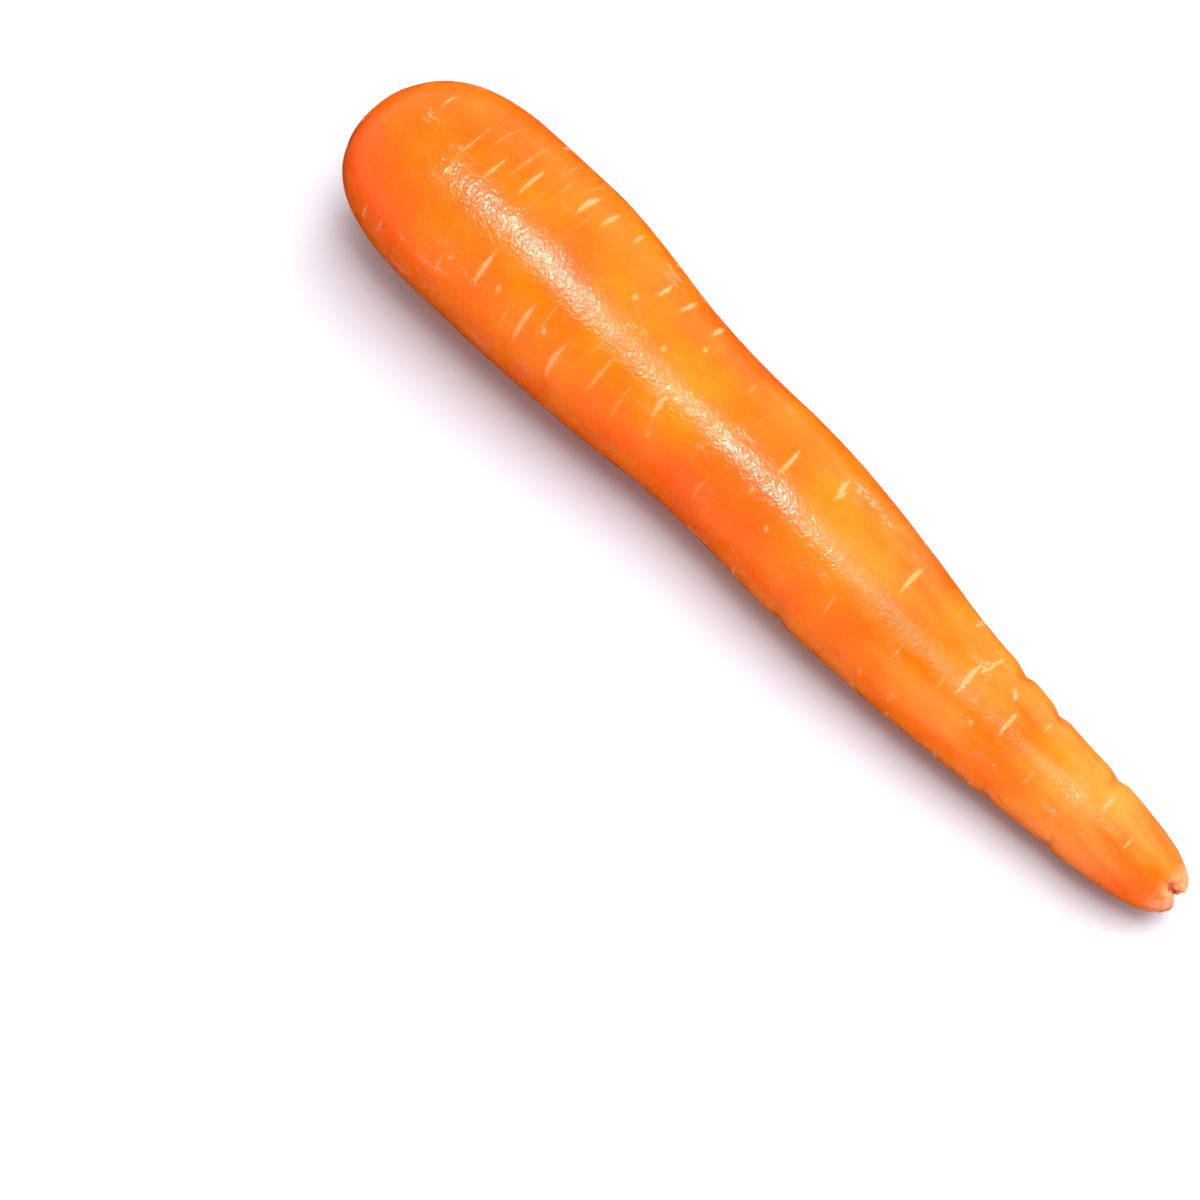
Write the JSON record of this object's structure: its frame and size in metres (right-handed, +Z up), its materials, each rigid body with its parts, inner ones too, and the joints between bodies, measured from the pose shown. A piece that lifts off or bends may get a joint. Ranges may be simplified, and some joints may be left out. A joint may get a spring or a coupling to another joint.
{
  "type": "carrot",
  "caption": "Topped carrot lying on its side: broad rounded shoulder with a leaf scar, softly stepped taper, creased tail and blunt tip.",
  "frame": {"origin": "on the surface the carrot lies on, under the middle of its bounding box", "axes": "+X runs from the crown to the tip, +Z is up, +Y is the side that the crown half bends towards"},
  "size_m": [0.2146, 0.0406, 0.0401],
  "materials": {
    "skin": "moist glossy carrot skin, saturated orange, with pale cross scars; greenish fibrous scar at the crown"
  },
  "bodies": {
    "root": {"carrot": "skin"}
  },
  "joints": []
}
